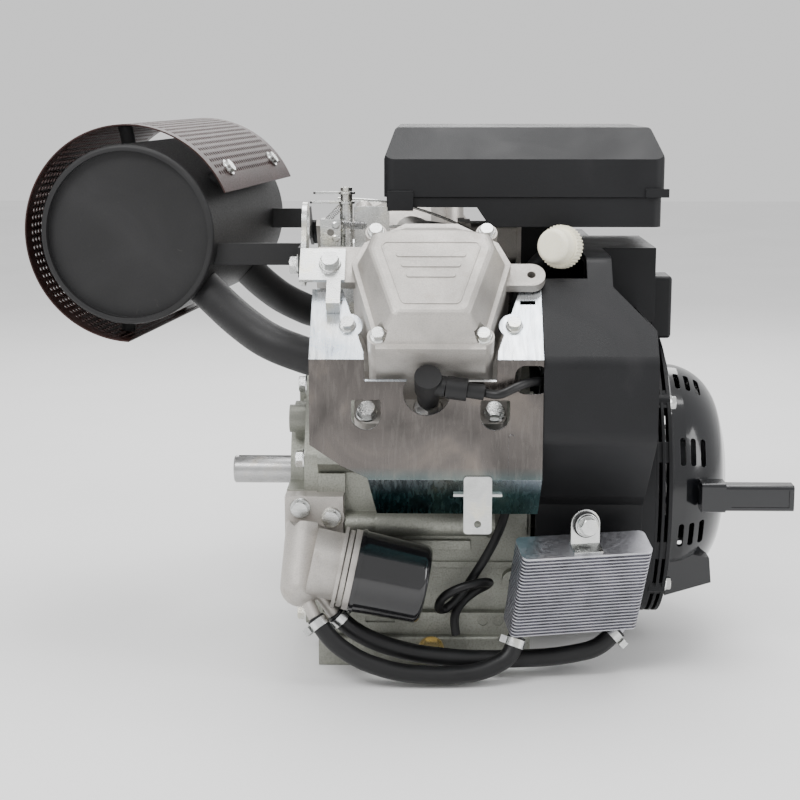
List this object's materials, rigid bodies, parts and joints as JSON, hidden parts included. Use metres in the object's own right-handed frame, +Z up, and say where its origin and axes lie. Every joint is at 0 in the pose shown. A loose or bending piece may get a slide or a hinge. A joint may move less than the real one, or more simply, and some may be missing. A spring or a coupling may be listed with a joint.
{
  "type": "gasoline engine",
  "caption": "V-twin air-cooled petrol engine with horizontal keyed shaft, pull-rope starter, oil cooler, cross-mounted muffler and flat air cleaner.",
  "frame": {"origin": "on the base plane, at the centre of the four base bolts, under the crankshaft axis", "axes": "+X along the crankshaft towards the starter (the output shaft points to -X), +Y to the rear cylinder, +Z up"},
  "size_m": [0.6437, 0.4702, 0.4571],
  "materials": {
    "cast_case": "dull grey-green cast aluminium",
    "cast_bright": "cast aluminium, light warm grey",
    "zinc_sheet": "zinc-plated sheet",
    "zinc_bolt": "bright zinc plating",
    "steel": "machined steel",
    "cast_iron": "cast iron",
    "black_plastic": "fine-grained black",
    "gloss_plastic": "gloss black",
    "cream_plastic": "cream",
    "grey_plastic": "dark grey",
    "rubber": "black rubber",
    "muffler_black": "heat-resisting charcoal paint",
    "shield_brown": "dark reddish brown",
    "cooler_metal": "bare aluminium",
    "brass": "yellow-passivated",
    "paper": "pleated filter paper",
    "filter_black": "gloss black enamel",
    "rope": "braided cord"
  },
  "bodies": {
    "engine_block": {"air_cleaner_base": "black_plastic", "air_filter_element": "paper", "breather_hose": "rubber", "carburettor": "cast_bright", "control_bracket": "zinc_bolt", "cooler_bolt": "zinc_bolt", "cooler_bracket": "zinc_bolt", "cooler_grommet": "rubber", "crankcase": "cast_case", "cylinder_head_front": "cast_bright", "cylinder_head_rear": "cast_bright", "cylinder_shrouds": "zinc_sheet", "cylinders": "cast_iron", "exhaust_pipes": "muffler_black", "fan_guard": "black_plastic", "fan_housing": "black_plastic", "filter_adapter": "cast_bright", "flange_bolts_m6": "zinc_bolt", "flange_bolts_m8": "zinc_bolt", "hose_clamps": "zinc_bolt", "ignition_coils": "gloss_plastic", "ignition_leads": "rubber", "intake_manifold": "cast_bright", "lifting_eye": "zinc_bolt", "main_bearings": "steel", "muffler_body": "muffler_black", "muffler_brackets": "muffler_black", "muffler_heat_shield": "shield_brown", "oil_cooler": "cooler_metal", "oil_drain_plug": "brass", "oil_filler_tube": "black_plastic", "oil_filter": "filter_black", "oil_hoses": "rubber", "oil_seal": "rubber", "plug_caps": "rubber", "pto_cover": "cast_case", "recoil_housing": "gloss_plastic", "rocker_covers": "cast_bright", "shield_screws": "zinc_bolt", "spark_plugs": "steel", "starter_rope": "rope", "stay_bracket": "zinc_sheet", "switch_box": "black_plastic"},
    "crank_train": {"crankshaft": "steel", "crank_gear": "steel", "flywheel": "cast_iron", "cooling_fan": "grey_plastic", "starter_cup": "steel", "flywheel_nut": "zinc_bolt"},
    "cam": {"camshaft": "cast_iron"},
    "piston_f": {"piston_front": "cast_bright"},
    "piston_r": {"piston_rear": "cast_bright"},
    "reel": {"starter_reel": "grey_plastic"},
    "handle": {"pull_handle": "gloss_plastic"},
    "throttle": {"throttle_lever": "zinc_bolt"},
    "choke": {"choke_lever": "zinc_bolt"},
    "governor": {"governor_arm": "zinc_bolt"},
    "filler_cap": {"oil_filler_cap": "cream_plastic"},
    "cleaner_lid": {"air_cleaner_cover": "black_plastic"}
  },
  "joints": [
    {"name": "crank_spin", "type": "hinge", "parent": "engine_block", "child": "crank_train", "pos_m": [0, 0, 0.145], "axis": [1, 0, 0], "continuous": true},
    {"name": "cam_spin", "type": "hinge", "parent": "engine_block", "child": "cam", "pos_m": [0, 0, 0.073], "axis": [1, 0, 0], "continuous": true},
    {"name": "piston_front_slide", "type": "slide", "parent": "engine_block", "child": "piston_f", "axis": [0, -0.7071, 0.7071], "range_m": [-0.0538, 0.0121]},
    {"name": "piston_rear_slide", "type": "slide", "parent": "engine_block", "child": "piston_r", "axis": [0, 0.7071, 0.7071], "range_m": [-0.0538, 0.0121]},
    {"name": "handle_pull", "type": "slide", "parent": "engine_block", "child": "handle", "axis": [0, -1, 0], "range_m": [0, 0.6], "stiffness_N_per_m": 30, "springref_m": -0.3, "deforming": ["starter_rope"]},
    {"name": "reel_turn", "type": "hinge", "parent": "engine_block", "child": "reel", "pos_m": [0.245, 0, 0.145], "axis": [1, 0, 0], "range_deg": [0, 990]},
    {"name": "throttle_swing", "type": "hinge", "parent": "engine_block", "child": "throttle", "pos_m": [-0.062, -0.06, 0.398], "axis": [0, 0, 1], "range_deg": [0, 60]},
    {"name": "choke_swing", "type": "hinge", "parent": "engine_block", "child": "choke", "pos_m": [-0.062, -0.06, 0.39], "axis": [0, 0, 1], "range_deg": [0, 70]},
    {"name": "governor_swing", "type": "hinge", "parent": "engine_block", "child": "governor", "pos_m": [-0.04, -0.008, 0.33], "axis": [0, 0, 1], "range_deg": [0, 20]},
    {"name": "cap_pull", "type": "slide", "parent": "engine_block", "child": "filler_cap", "axis": [-0.5093, -0.8489, 0.1415], "range_m": [0, 0.06]},
    {"name": "lid_lift", "type": "slide", "parent": "engine_block", "child": "cleaner_lid", "axis": [0, 0, 1], "range_m": [0, 0.12]}
  ],
  "couplings": [
    {"joint": "cam_spin", "follows": "crank_spin", "ratio": -0.5},
    {"joint": "reel_turn", "follows": "handle_pull", "rad_per_m": 26.631},
    {"joint": "governor_swing", "follows": "throttle_swing", "ratio": 0.3333}
  ]
}
